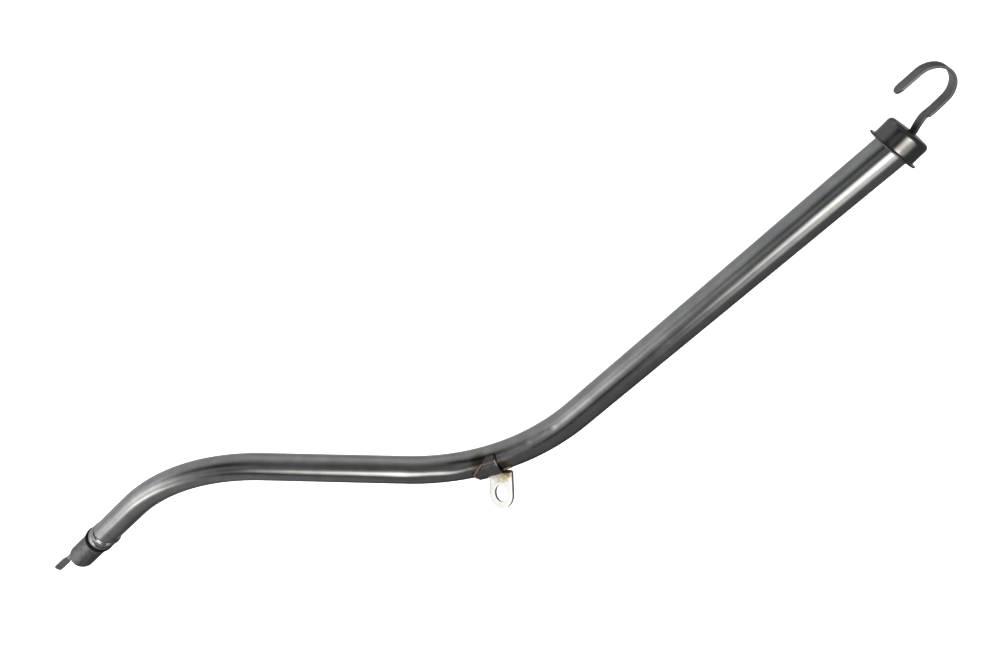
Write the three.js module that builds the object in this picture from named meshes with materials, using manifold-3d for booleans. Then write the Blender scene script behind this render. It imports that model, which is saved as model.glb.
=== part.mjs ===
// A bent steel filler tube with its dipstick: tube, sealing ring, welded bracket, and a dipstick
// with a pressed cap, a hook handle and one long flat strip that runs down the whole bore.
// Millimetres, +Z up. The tube's two bends lie in the XZ plane and its middle straight runs along +X.
// The origin is the centre of the bracket's bolt hole, on the face that the bolt head rests on.
import * as THREE from "three";
import { mergeVertices } from "three/addons/utils/BufferGeometryUtils.js";
import Module from "manifold-3d";

const wasm = await Module();
wasm.setup();

const degrees = THREE.MathUtils.degToRad;

// ---- Driving dimensions ----

// Tube: three quarter inch outside, bent twice on a six inch radius
const TUBE_RADIUS = 9.525;
const BORE_RADIUS = 8.285;
const TUBE_SIDES = 32;
const SECTION_GAP = 0.2;
const LOWER_STRAIGHT = 84.6;
const LOWER_BEND = degrees(44);
const MIDDLE_STRAIGHT = 99.3;
const UPPER_BEND = degrees(49.25);
const UPPER_STRAIGHT = 234.5;
const BEND_RADIUS = 152.4;

// Nose, ring groove and upset bead, as distances along the tube from its lower end
const NOSE_START = -0.7;
const NOSE_CHAMFER = 0.8;
const GROOVE_START = 27.4;
const GROOVE_END = 31.4;
const GROOVE_RADIUS = 8.9;
const RING_HEIGHT = 1.8;
const RING_LENGTH = 3.6;
const BEAD_RADIUS = 10.5;
const BEAD_CREASE_RADIUS = 9.9;
const BEAD_CREASE = 37.4;
const BEAD_END = 44.5;
const BEAD_LEAN = 0.45;

// Bracket: 2 mm strip, wrapped round the front of the upper bend and folded out into a tab
const STRIP = 2.0;
const SADDLE_INSIDE = TUBE_RADIUS + 0.35;
const SADDLE_LOW_END = 351.6;
const SADDLE_HIGH_END = 368.6;
const HOLE_RADIUS = 5.5;
const TAB_HALF_WIDTH = 10;
const NOSE_TO_HOLE = new THREE.Vector3(332.2, -14.1, 96.0);
const TAB_HEADING = degrees(-85);
const TAB_DROP = degrees(53);
const TAB_ROLL = degrees(41);

// Dipstick strip, and how far it lies off the tube's axis along its way down
const BLADE_WIDTH = 5.0;
const BLADE_THICKNESS = 1.0;
const BLADE_TOP_OFFSET = -2.3;
const BLADE_BEND_OFFSET = 4.0;
const TIP_OFFSET = 6.4;
const TIP_END = -32;
const TIP_WIDTH = 5.8;
const TWIST_START = -3;
const TWIST_END = -15;
const END_GAP = 0.4;

// Cap: a pressed cup with a brim, sitting a little askew on the tube's upper end
const CAP_TILT = degrees(5.4);
const BRIM_AT = 660.6;
const BRIM_RADIUS = 14.1;
const CAP_RADIUS = 11.9;
const CAP_HEIGHT = 11.2;
const CAP_SHEET = 0.8;
const BRIM_SHEET = 0.9;
const CAP_CORNER = 2.4;
const CAP_SIDES = 36;

// Hook handle, in the cap's own frame: x across the strip, y up, z along the cap's axis
const HANDLE_THICKNESS = 1.3;
const HANDLE_WIDTH = 7.2;
const NECK_RELIEF = 1.1;
const NECK_END = 21;
const HANDLE_FOOT = -14;
const HANDLE_SIDE = -1.4;
const HOOK_RADIUS = 9.7;
const HOOK_CENTRE = new THREE.Vector2(31, 9.9);
const HOOK_TIP = new THREE.Vector2(23.0, 20.4);

// Riveted lap joint between handle and strip
const LAP_GAP = 0.3;
const RIVETS_AT = [-11, -6];
const RIVET_RADIUS = 1.3;
const RIVET_HEAD_RADIUS = 2.2;
const RIVET_HEAD = 0.9;
const BLADE_TOP_START = -3;
const BLADE_TOP_END = -24;

// ---- The tube's centreline ----

const LOWER_BEND_END = LOWER_STRAIGHT + BEND_RADIUS * LOWER_BEND;
const UPPER_BEND_START = LOWER_BEND_END + MIDDLE_STRAIGHT;
const UPPER_BEND_END = UPPER_BEND_START + BEND_RADIUS * UPPER_BEND;
const TUBE_LENGTH = UPPER_BEND_END + UPPER_STRAIGHT;
const SIDE = new THREE.Vector3(0, 1, 0);

function direction(heading) {
  return new THREE.Vector3(Math.cos(heading), 0, Math.sin(heading));
}

function upFrom(heading) {
  return new THREE.Vector3(-Math.sin(heading), 0, Math.cos(heading));
}

// Point and heading on the centreline, a distance s from the lower end
function centreline(s) {
  const lowerStraight = direction(LOWER_BEND).multiplyScalar(Math.min(s, LOWER_STRAIGHT));
  if (s <= LOWER_STRAIGHT) return { point: lowerStraight, heading: LOWER_BEND };
  const lowerCentre = lowerStraight.addScaledVector(upFrom(LOWER_BEND), -BEND_RADIUS);
  if (s <= LOWER_BEND_END) {
    const heading = LOWER_BEND - (s - LOWER_STRAIGHT) / BEND_RADIUS;
    return { point: lowerCentre.addScaledVector(upFrom(heading), BEND_RADIUS), heading };
  }
  const middle = lowerCentre.addScaledVector(upFrom(0), BEND_RADIUS);
  middle.x += Math.min(s - LOWER_BEND_END, MIDDLE_STRAIGHT);
  if (s <= UPPER_BEND_START) return { point: middle, heading: 0 };
  const upperCentre = middle.addScaledVector(upFrom(0), BEND_RADIUS);
  const heading = Math.min((s - UPPER_BEND_START) / BEND_RADIUS, UPPER_BEND);
  const point = upperCentre.addScaledVector(upFrom(heading), -BEND_RADIUS);
  point.addScaledVector(direction(heading), Math.max(s - UPPER_BEND_END, 0));
  return { point, heading };
}

// The place beside the centreline: x across the bend plane, y up in it, s along the tube
function besideTube(x, y, s) {
  const { point, heading } = centreline(s);
  return point.addScaledVector(SIDE, x).addScaledVector(upFrom(heading), y);
}

// ---- Geometry helpers ----

function moveVertices(geometry, move) {
  const position = geometry.getAttribute("position");
  for (let i = 0; i < position.count; i++) {
    const p = move(position.getX(i), position.getY(i), position.getZ(i));
    position.setXYZ(i, p.x, p.y, p.z);
  }
  return geometry;
}

function bendAlongTube(geometry) {
  return moveVertices(geometry, besideTube);
}

function solid(geometry) {
  const bare = geometry.clone();
  bare.deleteAttribute("normal");
  bare.deleteAttribute("uv");
  const merged = mergeVertices(bare, 1e-4);
  return new wasm.Manifold(
    new wasm.Mesh({
      numProp: 3,
      vertProperties: merged.getAttribute("position").array,
      triVerts: new Uint32Array(merged.index.array),
    }),
  );
}

function geometryOf(manifold) {
  const mesh = manifold.getMesh();
  const geometry = new THREE.BufferGeometry();
  geometry.setAttribute("position", new THREE.BufferAttribute(mesh.vertProperties, 3));
  geometry.setIndex(new THREE.BufferAttribute(mesh.triVerts, 1));
  return geometry;
}

// A closed outline of [radius, height] pairs, turned round the z axis
function turned(outline, sides) {
  const points = outline.map(([radius, height]) => new THREE.Vector2(radius, height));
  return new THREE.LatheGeometry(points, sides).rotateX(Math.PI / 2);
}

function rod(radius, length, sides) {
  return new THREE.CylinderGeometry(radius, radius, length, sides).rotateX(Math.PI / 2);
}

// A box with its corners moved by a rule: u and v run 0 to 1 over its face, w is -0.5 or 0.5 through it
function shapedPlate(across, along, place) {
  const box = new THREE.BoxGeometry(1, 1, 1, across, along, 1);
  return moveVertices(box, (x, y, z) => place(x + 0.5, y + 0.5, z));
}

// ---- Tube and sealing ring ----

// The tube is one piece of metal. It is made here as one length to each straight and bend, almost
// touching, so that each length keeps its open bore in collision
function tubeSection(outside, inside) {
  const outline = [
    ...outside,
    ...inside.toReversed().map((s) => [BORE_RADIUS, s]),
  ];
  outline.push(outline[0]);
  // The bead stands further out on the inside of the lower bend than on its outside
  const tube = moveVertices(turned(outline, TUBE_SIDES), (x, y, z) => {
    const lift = Math.max(Math.hypot(x, y) - TUBE_RADIUS, 0);
    return new THREE.Vector3(x, y - lift * BEAD_LEAN, z);
  });
  return bendAlongTube(tube);
}

function plainSection(start, end, steps) {
  const rows = [];
  for (let i = 0; i <= steps; i++) rows.push(THREE.MathUtils.lerp(start, end, i / steps));
  return tubeSection(rows.map((s) => [TUBE_RADIUS, s]), rows);
}

function betweenSections(start, end, steps) {
  return plainSection(start + SECTION_GAP / 2, end - SECTION_GAP / 2, steps);
}

function noseSection() {
  const lobe = (start, end, peak) =>
    [0.0, 0.18, 0.5, 0.82].map((t) => [
      THREE.MathUtils.lerp(BEAD_CREASE_RADIUS, peak, Math.sin(Math.PI * t)),
      THREE.MathUtils.lerp(start, end, t),
    ]);
  const end = LOWER_STRAIGHT - SECTION_GAP / 2;
  const outside = [
    [TUBE_RADIUS - 0.25, NOSE_START],
    [TUBE_RADIUS, NOSE_START + NOSE_CHAMFER],
    [TUBE_RADIUS, GROOVE_START],
    [GROOVE_RADIUS, GROOVE_START + 0.3],
    [GROOVE_RADIUS, GROOVE_END],
    ...lobe(GROOVE_END + 0.2, BEAD_CREASE, BEAD_RADIUS),
    ...lobe(BEAD_CREASE, BEAD_END, BEAD_RADIUS),
    [TUBE_RADIUS, BEAD_END],
    [TUBE_RADIUS, end],
  ];
  return tubeSection(outside, [NOSE_START, end]);
}

function sealingRing() {
  const radius = GROOVE_RADIUS + 0.1 + RING_HEIGHT / 2;
  const middle = (GROOVE_START + GROOVE_END) / 2 + 0.15;
  const sectionSides = 10;
  const outline = [];
  for (let i = 0; i <= sectionSides; i++) {
    const turn = (2 * Math.PI * (i % sectionSides)) / sectionSides;
    outline.push([
      radius + (RING_HEIGHT / 2) * Math.cos(turn),
      middle + (RING_LENGTH / 2) * Math.sin(turn),
    ]);
  }
  return bendAlongTube(turned(outline, TUBE_SIDES));
}

// ---- Bracket ----

// Angles round the tube are measured from its top, over the side that faces -Y
const SADDLE_TOP = degrees(32);
const SADDLE_LOW_CORNER = degrees(140);
const SADDLE_HIGH_CORNER = degrees(118);
const SLANT_START = degrees(96);
const TOP_EDGE = 4.6;

// Where the tab leaves the saddle, measured from the bolt hole towards the tube
const TAB_LOW_CORNER = 10.0;
const TAB_HIGH_CORNER = 14.5;
const TAB_OVERLAP = 0.45;
const FOLD_REACH = 4;
const FOLD_ROOT = 0.06;
const FOLD_THICKNESS = STRIP * 0.96;

function roundTube(angle, radius, s) {
  return besideTube(-radius * Math.sin(angle), radius * Math.cos(angle), s);
}

function saddleLowEdge(angle) {
  const slant = THREE.MathUtils.clamp((SLANT_START - angle) / (SLANT_START - SADDLE_TOP), 0, 1);
  return THREE.MathUtils.lerp(SADDLE_LOW_END, SADDLE_HIGH_END - TOP_EDGE, slant);
}

function saddlePoint(u, v, radius) {
  const lastAngle = THREE.MathUtils.lerp(SADDLE_LOW_CORNER, SADDLE_HIGH_CORNER, u);
  const angle = THREE.MathUtils.lerp(SADDLE_TOP, lastAngle, v);
  return roundTube(angle, radius, THREE.MathUtils.lerp(saddleLowEdge(angle), SADDLE_HIGH_END, u));
}

// The tab's own directions: outwards along it, across it, and off its outer face
function tabDirections() {
  const out = new THREE.Vector3(
    Math.cos(TAB_DROP) * Math.cos(TAB_HEADING),
    Math.cos(TAB_DROP) * Math.sin(TAB_HEADING),
    -Math.sin(TAB_DROP),
  );
  const level = new THREE.Vector3(-Math.sin(TAB_HEADING), Math.cos(TAB_HEADING), 0);
  const across = level.applyAxisAngle(out, TAB_ROLL);
  const face = new THREE.Vector3().crossVectors(out, across);
  return { out, across, face };
}

function bracket() {
  const { out, across, face } = tabDirections();
  const saddleMiddle = SADDLE_INSIDE + STRIP / 2;
  const saddle = shapedPlate(4, 12, (u, v, w) => saddlePoint(u, v, saddleMiddle - w * STRIP));

  // The fold runs from the saddle's last edge to the tab's first one as a smooth curve
  const tabMiddle = NOSE_TO_HOLE.clone().addScaledVector(face, -STRIP / 2);
  const foldPoint = (u, v) => {
    const start = saddlePoint(u, 1, saddleMiddle);
    const before = saddlePoint(u, 0.98, saddleMiddle);
    const leaving = start.clone().sub(before).normalize();
    const reach = THREE.MathUtils.lerp(TAB_LOW_CORNER, TAB_HIGH_CORNER, u);
    const end = tabMiddle
      .clone()
      .addScaledVector(across, (2 * u - 1) * TAB_HALF_WIDTH)
      .addScaledVector(out, -reach);
    const a = 2 * v ** 3 - 3 * v ** 2 + 1;
    const b = v ** 3 - 2 * v ** 2 + v;
    const c = -2 * v ** 3 + 3 * v ** 2;
    const d = v ** 3 - v ** 2;
    return start
      .multiplyScalar(a)
      .addScaledVector(leaving, FOLD_REACH * b)
      .addScaledVector(end, c)
      .addScaledVector(out, FOLD_REACH * d);
  };
  const fold = shapedPlate(6, 8, (u, share, w) => {
    const step = 0.01;
    const v = THREE.MathUtils.lerp(-FOLD_ROOT, 1, share);
    const along = foldPoint(u, v + step).sub(foldPoint(u, v - step));
    const sideways = foldPoint(u + step, v).sub(foldPoint(u - step, v));
    const off = along.cross(sideways).normalize();
    return foldPoint(u, v).addScaledVector(off, -w * FOLD_THICKNESS);
  });

  const outline = new THREE.Shape();
  outline.moveTo(-TAB_HALF_WIDTH, TAB_LOW_CORNER + TAB_OVERLAP);
  outline.lineTo(-TAB_HALF_WIDTH, 0);
  outline.absarc(0, 0, TAB_HALF_WIDTH, Math.PI, 2 * Math.PI);
  outline.lineTo(TAB_HALF_WIDTH, TAB_HIGH_CORNER + TAB_OVERLAP);
  outline.closePath();
  const hole = new THREE.Path();
  hole.absarc(0, 0, HOLE_RADIUS, 0, 2 * Math.PI);
  outline.holes.push(hole);
  const tab = new THREE.ExtrudeGeometry(outline, {
    depth: STRIP,
    bevelEnabled: false,
    curveSegments: 16,
  });
  const toward = out.clone().negate();
  const basis = new THREE.Matrix4().makeBasis(across, toward, face);
  basis.setPosition(NOSE_TO_HOLE.clone().addScaledVector(face, -STRIP));
  tab.applyMatrix4(basis);
  return geometryOf(solid(saddle).add(solid(fold)).add(solid(tab)));
}

const WELD_RADIUS = 1.0;
const WELD_LIFT = TUBE_RADIUS + WELD_RADIUS + 0.3;
const WELD_ASIDE = 1.9;
const SADDLE_WELD_TOP = degrees(58);
const SADDLE_WELD_BOTTOM = degrees(138);
const TAB_WELD_ANGLE = degrees(112);
const TAB_WELD_START = SADDLE_HIGH_END + 1.6;
const TAB_WELD_END = SADDLE_HIGH_END + 6.6;

// A weld bead along the tube's surface, beside the saddle's edge
function weldBead(place) {
  const points = [];
  const steps = 8;
  for (let i = 0; i <= steps; i++) points.push(place(i / steps));
  const path = new THREE.CatmullRomCurve3(points);
  const section = new THREE.Shape();
  section.absarc(0, 0, WELD_RADIUS, 0, 2 * Math.PI);
  return new THREE.ExtrudeGeometry(section, {
    steps: 12,
    curveSegments: 4,
    extrudePath: path,
  });
}

function saddleWeld(t) {
  const angle = THREE.MathUtils.lerp(SADDLE_WELD_TOP, SADDLE_WELD_BOTTOM, t);
  return roundTube(angle, WELD_LIFT, saddleLowEdge(angle) - WELD_ASIDE);
}

function tabWeld(t) {
  return roundTube(TAB_WELD_ANGLE, WELD_LIFT, THREE.MathUtils.lerp(TAB_WELD_START, TAB_WELD_END, t));
}

// ---- Dipstick strip ----

// A length of strip from one place along the tube to another, with its offset and twist there
function strip(start, end, steps, offset, twist = () => 0, width = () => 1) {
  return shapedPlate(1, steps, (u, v, w) => {
    const s = THREE.MathUtils.lerp(end, start, v);
    const across = new THREE.Vector2((u - 0.5) * BLADE_WIDTH * width(s), w * BLADE_THICKNESS);
    across.rotateAround(new THREE.Vector2(), twist(s));
    return besideTube(across.x, offset(s) + across.y, s);
  });
}

function between(s, start, end, from, to) {
  return THREE.MathUtils.mapLinear(s, start, end, from, to);
}

const bladeUpper = () => {
  const top = BRIM_AT + BLADE_TOP_END - END_GAP;
  return strip(UPPER_BEND_END + END_GAP, top, 1, (s) =>
    between(s, UPPER_BEND_END, top, -BLADE_BEND_OFFSET, BLADE_TOP_OFFSET),
  );
};

const bladeUpperBend = () =>
  strip(UPPER_BEND_START, UPPER_BEND_END, 12, () => -BLADE_BEND_OFFSET);

const bladeMiddle = () =>
  strip(LOWER_BEND_END + END_GAP, UPPER_BEND_START - END_GAP, 1, (s) =>
    between(s, LOWER_BEND_END, UPPER_BEND_START, BLADE_BEND_OFFSET, -BLADE_BEND_OFFSET),
  );

const bladeLowerBend = () => strip(LOWER_STRAIGHT, LOWER_BEND_END, 12, () => BLADE_BEND_OFFSET);

// The lowest stretch turns a quarter turn below the tube's nose, widens a little and ends round
function bladeTip() {
  const roundStart = TIP_END + TIP_WIDTH / 2;
  const offset = (s) => between(s, LOWER_STRAIGHT, TIP_END, BLADE_BEND_OFFSET, TIP_OFFSET);
  const twist = (s) => (Math.PI / 2) * THREE.MathUtils.smoothstep(-s, -TWIST_START, -TWIST_END);
  const width = (s) => {
    const past = Math.max(roundStart - s, 0) / (TIP_WIDTH / 2);
    const flare = THREE.MathUtils.smoothstep(-s, -TWIST_START, -TWIST_END);
    const wide = THREE.MathUtils.lerp(1, TIP_WIDTH / BLADE_WIDTH, flare);
    return wide * Math.sqrt(Math.max(1 - past ** 2, 0.02));
  };
  return strip(TIP_END, LOWER_STRAIGHT - END_GAP, 60, offset, twist, width);
}

// ---- Head: cap, seal, washer, handle and rivets, in the cap's own frame ----

function slotCutter(bottom, top) {
  const slot = new THREE.BoxGeometry(HANDLE_WIDTH + 0.8, HANDLE_THICKNESS + 1.2, top - bottom);
  return solid(slot.translate(0, HANDLE_SIDE + 0.1, (top + bottom) / 2));
}

function capShell() {
  const inside = CAP_RADIUS - CAP_SHEET;
  const corner = (radius, height, size) =>
    [0, 0.5, 1].map((t) => [
      radius - size + size * Math.cos((t * Math.PI) / 2),
      height - size + size * Math.sin((t * Math.PI) / 2),
    ]);
  const crown = 0.5;
  const outline = [
    [0, CAP_HEIGHT - CAP_SHEET + crown],
    [CAP_RADIUS * 0.5, CAP_HEIGHT - CAP_SHEET + crown * 0.7],
    ...corner(inside, CAP_HEIGHT - CAP_SHEET, CAP_CORNER - CAP_SHEET).reverse(),
    [inside, 0],
    [BRIM_RADIUS - 0.2, 0],
    [BRIM_RADIUS, 0.25],
    [BRIM_RADIUS, 0.65],
    [BRIM_RADIUS - 0.2, BRIM_SHEET],
    [CAP_RADIUS + 0.7, BRIM_SHEET],
    [CAP_RADIUS, BRIM_SHEET + 0.7],
    ...corner(CAP_RADIUS, CAP_HEIGHT, CAP_CORNER),
    [CAP_RADIUS * 0.5, CAP_HEIGHT + crown * 0.7],
    [0, CAP_HEIGHT + crown],
  ];
  const shell = turned(outline, CAP_SIDES);
  return geometryOf(solid(shell).subtract(slotCutter(CAP_HEIGHT - 3, CAP_HEIGHT + 3)));
}

const SEAL_WEB = 7.4;
const SEAL_TOP = 9.1;
const WASHER_TOP = 9.9;

function capSeal() {
  const outside = CAP_RADIUS - CAP_SHEET - 0.3;
  const body = turned([[0, 1.2], [outside, 1.2], [outside, SEAL_TOP], [0, SEAL_TOP]], CAP_SIDES);
  const web = turned([[0, SEAL_WEB], [outside, SEAL_WEB], [outside, 20], [0, 20]], CAP_SIDES);
  const cutter = solid(rod(TUBE_RADIUS + 0.35, 60, CAP_SIDES).rotateX(CAP_TILT)).subtract(solid(web));
  return geometryOf(solid(body).subtract(cutter).subtract(slotCutter(SEAL_WEB - 1, SEAL_TOP + 1)));
}

function capWasher() {
  const bottom = SEAL_TOP + 0.3;
  const disc = rod(8.5, WASHER_TOP - bottom, CAP_SIDES);
  disc.translate(0, 0, (WASHER_TOP + bottom) / 2);
  return geometryOf(solid(disc).subtract(slotCutter(bottom - 1, WASHER_TOP + 1)));
}

// The handle's centreline: straight foot, jogged neck, half-round hook and short return leg
function handlePath() {
  const neck = new THREE.SplineCurve(
    [
      [HANDLE_FOOT, HANDLE_SIDE],
      [4, HANDLE_SIDE],
      [11.2, HANDLE_SIDE],
      [15.2, -0.2],
      [19.5, 0.8],
      [24.5, 0.3],
      [HOOK_CENTRE.x, HOOK_CENTRE.y - HOOK_RADIUS],
    ].map(([z, y]) => new THREE.Vector2(z, y)),
  );
  const hook = new THREE.EllipseCurve(
    HOOK_CENTRE.x,
    HOOK_CENTRE.y,
    HOOK_RADIUS,
    HOOK_RADIUS,
    -Math.PI / 2,
    degrees(86),
  );
  const path = new THREE.CurvePath();
  path.add(neck);
  path.add(hook);
  path.add(new THREE.LineCurve(hook.getPoint(1), HOOK_TIP));
  return path;
}

// Steps evenly along a length, then closer together round its half-round end
function alongWithRoundEnd(t, length, radius) {
  const evenShare = 0.88;
  if (t <= evenShare) return (t / evenShare) * length;
  const turn = ((t - evenShare) / (1 - evenShare)) * (Math.PI / 2);
  return length + radius * Math.sin(turn);
}

function hookHandle() {
  const path = handlePath();
  const length = path.getLength();
  const tipRound = HANDLE_WIDTH / 2;
  const body = shapedPlate(2, 72, (u, v, w) => {
    const distance = alongWithRoundEnd(1 - v, length, tipRound);
    const past = Math.max(distance - length, 0);
    const t = Math.min(distance / length, 1);
    const point = path.getPointAt(t);
    const tangent = path.getTangentAt(t);
    point.addScaledVector(tangent, past);
    const inNeck = point.y < HOOK_CENTRE.y;
    const relief = inNeck ? 1 - THREE.MathUtils.smoothstep(point.x, NECK_END - 0.5, NECK_END + 0.5) : 0;
    const round = Math.sqrt(Math.max(1 - (past / tipRound) ** 2, 0.02));
    const half = (HANDLE_WIDTH / 2) * round;
    const x = THREE.MathUtils.lerp(-half + NECK_RELIEF * relief, half, u);
    const off = new THREE.Vector2(-tangent.y, tangent.x).multiplyScalar(w * HANDLE_THICKNESS);
    return new THREE.Vector3(x, point.y + off.y, point.x + off.x);
  });
  return geometryOf(solid(body).subtract(rivetHoles()));
}

function rivetHoles() {
  const holes = RIVETS_AT.map((z) =>
    solid(rod(RIVET_RADIUS + 0.3, 12, 12).rotateX(Math.PI / 2).translate(0, 0, z)),
  );
  return holes.reduce((all, hole) => all.add(hole));
}

const BLADE_LAP_Y = HANDLE_SIDE + (HANDLE_THICKNESS + BLADE_THICKNESS) / 2 + LAP_GAP;

function bladeTop() {
  const length = BLADE_TOP_START - BLADE_TOP_END;
  const piece = new THREE.BoxGeometry(BLADE_WIDTH, BLADE_THICKNESS, length);
  piece.translate(0, BLADE_LAP_Y, BLADE_TOP_END + length / 2);
  return geometryOf(solid(piece).subtract(rivetHoles()));
}

function rivet() {
  const low = HANDLE_SIDE - HANDLE_THICKNESS / 2 - LAP_GAP;
  const high = BLADE_LAP_Y + BLADE_THICKNESS / 2 + LAP_GAP;
  const outline = [
    [0, low - RIVET_HEAD],
    [RIVET_HEAD_RADIUS * 0.7, low - RIVET_HEAD * 0.8],
    [RIVET_HEAD_RADIUS, low],
    [RIVET_RADIUS, low],
    [RIVET_RADIUS, high],
    [RIVET_HEAD_RADIUS, high],
    [RIVET_HEAD_RADIUS * 0.7, high + RIVET_HEAD * 0.8],
    [0, high + RIVET_HEAD],
  ];
  return turned(outline, 12).rotateX(-Math.PI / 2);
}

// ---- Materials ----

function steel(color, roughness) {
  return new THREE.MeshStandardMaterial({ color, roughness, metalness: 1 });
}

const tubeSteel = steel(0x9a9c9c, 0.32);
const bracketSteel = steel(0xc9c7bf, 0.38);
const weldMetal = steel(0x8c7468, 0.6);
const capSteel = steel(0x4a4a4c, 0.3);
const handleSteel = steel(0x50504c, 0.5);
const bladeSteel = steel(0x6a686a, 0.45);
const rivetSteel = steel(0x8a8a8a, 0.4);
const rubber = new THREE.MeshStandardMaterial({ color: 0x0b0b0c, roughness: 0.55, metalness: 0 });

// ---- Assembly ----

function named(name, geometry, material) {
  const mesh = new THREE.Mesh(geometry, material);
  mesh.name = name;
  return mesh;
}

const tubeGroup = new THREE.Group();
tubeGroup.add(
  named("tube_lower_straight", noseSection(), tubeSteel),
  named("tube_lower_bend", betweenSections(LOWER_STRAIGHT, LOWER_BEND_END, 12), tubeSteel),
  named("tube_middle_straight", betweenSections(LOWER_BEND_END, UPPER_BEND_START, 1), tubeSteel),
  named("tube_upper_bend", betweenSections(UPPER_BEND_START, UPPER_BEND_END, 12), tubeSteel),
  named("tube_upper_straight", plainSection(UPPER_BEND_END + SECTION_GAP / 2, TUBE_LENGTH, 1), tubeSteel),
  named("sealing_ring", sealingRing(), rubber),
  named("mounting_bracket", bracket(), bracketSteel),
  named("saddle_weld", weldBead(saddleWeld), weldMetal),
  named("tab_weld", weldBead(tabWeld), weldMetal),
  named("blade_upper", bladeUpper(), bladeSteel),
  named("blade_upper_bend", bladeUpperBend(), bladeSteel),
  named("blade_middle", bladeMiddle(), bladeSteel),
  named("blade_lower_bend", bladeLowerBend(), bladeSteel),
  named("blade_tip", bladeTip(), bladeSteel),
);

const head = new THREE.Group();
head.add(
  named("cap_shell", capShell(), capSteel),
  named("cap_seal", capSeal(), rubber),
  named("cap_washer", capWasher(), rivetSteel),
  named("hook_handle", hookHandle(), handleSteel),
  named("blade_top", bladeTop(), bladeSteel),
);
RIVETS_AT.forEach((z, i) => {
  const mesh = named(`lap_rivet_${i + 1}`, rivet(), rivetSteel);
  mesh.position.z = z;
  head.add(mesh);
});
const brim = centreline(BRIM_AT);
const capHeading = brim.heading + CAP_TILT;
head.matrixAutoUpdate = false;
head.matrix.makeBasis(SIDE, upFrom(capHeading), direction(capHeading)).setPosition(brim.point);

const design = new THREE.Group();
design.add(tubeGroup, head);
design.position.copy(NOSE_TO_HOLE).negate();

const group = new THREE.Group();
group.add(design);

export default group;
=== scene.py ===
"""A bent steel filler tube with its dipstick: visible skins, materials, light and camera.

Lengths are in millimetres until a mesh is made. The floor's size and the places of the lights and the
camera are in metres. The tube's path, bracket, cap and hook repeat the dimensions of the CAD frame, so
that each skin lies on the solid that it stands for.
"""
import math

import bpy
from mathutils import Matrix, Vector, noise


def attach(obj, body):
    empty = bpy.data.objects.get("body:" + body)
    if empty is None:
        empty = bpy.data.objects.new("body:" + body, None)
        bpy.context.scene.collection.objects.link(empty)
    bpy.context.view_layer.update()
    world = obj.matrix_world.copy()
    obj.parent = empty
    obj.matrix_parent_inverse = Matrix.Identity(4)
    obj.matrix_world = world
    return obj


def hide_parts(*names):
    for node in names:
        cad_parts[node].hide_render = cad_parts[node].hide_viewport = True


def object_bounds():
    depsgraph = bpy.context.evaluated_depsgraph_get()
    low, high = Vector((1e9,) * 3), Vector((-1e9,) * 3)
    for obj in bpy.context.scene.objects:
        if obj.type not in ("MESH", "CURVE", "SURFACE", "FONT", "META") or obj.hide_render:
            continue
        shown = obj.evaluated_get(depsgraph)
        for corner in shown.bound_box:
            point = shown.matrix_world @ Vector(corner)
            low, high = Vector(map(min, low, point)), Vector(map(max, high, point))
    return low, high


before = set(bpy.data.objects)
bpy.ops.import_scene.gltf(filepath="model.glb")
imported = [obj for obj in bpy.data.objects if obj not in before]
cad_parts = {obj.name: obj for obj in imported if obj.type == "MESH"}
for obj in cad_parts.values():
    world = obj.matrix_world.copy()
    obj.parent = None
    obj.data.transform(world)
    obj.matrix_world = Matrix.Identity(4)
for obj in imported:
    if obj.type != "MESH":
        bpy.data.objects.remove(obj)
cad_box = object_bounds()

MM = 0.001

# ---- Dimensions, in millimetres ----

TUBE_RADIUS = 9.525
BORE_RADIUS = 8.285
LOWER_STRAIGHT = 84.6
LOWER_BEND = math.radians(44)
MIDDLE_STRAIGHT = 99.3
UPPER_BEND = math.radians(49.25)
UPPER_STRAIGHT = 234.5
BEND_RADIUS = 152.4
NOSE_TO_HOLE = Vector((332.2, -14.1, 96.0))

GROOVE = (27.4, 31.4)
NOSE_START = -0.7
GROOVE_RADIUS = 8.9
GROOVE_LIP = 0.22
BEAD_RADIUS = 10.5
BEAD_CREASE = 36.7
BEAD_CREST = 39.0
BEAD_END = 41.2
BEAD_END_BELOW = 45.0
BEAD_LEAN = 0.45
RING_HEIGHT = 1.8
RING_LENGTH = 3.6

# The tube's rounded rims: the mouth's radii run from the outside in, and the nose's from the bore out
MOUTH_ROUND = 0.1
MOUTH_RADII = (9.45, 9.2, 8.6, 8.37)
NOSE_ROUND = 0.15
NOSE_RADII = (8.37, 8.6, 8.95)

STRIP = 2.0
SADDLE_MIDDLE = TUBE_RADIUS + 0.35 + STRIP / 2
SADDLE_LOW_END = 351.6
SADDLE_HIGH_END = 368.6
SADDLE_TOP = math.radians(32)
SADDLE_LOW_CORNER = math.radians(140)
SADDLE_HIGH_CORNER = math.radians(118)
SLANT_START = math.radians(96)
SADDLE_CREASE = 0.32
SADDLE_CREASE_AT = math.radians(58)
SADDLE_CREASE_SPREAD = 0.12
TOP_EDGE = 4.6
FOLD_REACH = 4.0
HOLE_RADIUS = 5.5
TAB_HALF_WIDTH = 10.0
TAB_LOW_CORNER = 10.0
TAB_HIGH_CORNER = 14.5
TAB_HEADING = math.radians(-85)
TAB_DROP = math.radians(53)
TAB_ROLL = math.radians(41)
SOFT_EDGE = 0.28

SADDLE_WELD_START = math.radians(57)
SADDLE_WELD_END = math.radians(139)
SADDLE_WELD_SIZE = (2.6, 0.85)
SADDLE_WELD_POOLS = 13
TAB_WELD_AT = math.radians(113)
TAB_WELD_REACH = (1.2, 7.0)
TAB_WELD_SIZE = (2.2, 0.8)
TAB_WELD_POOLS = 5

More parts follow.
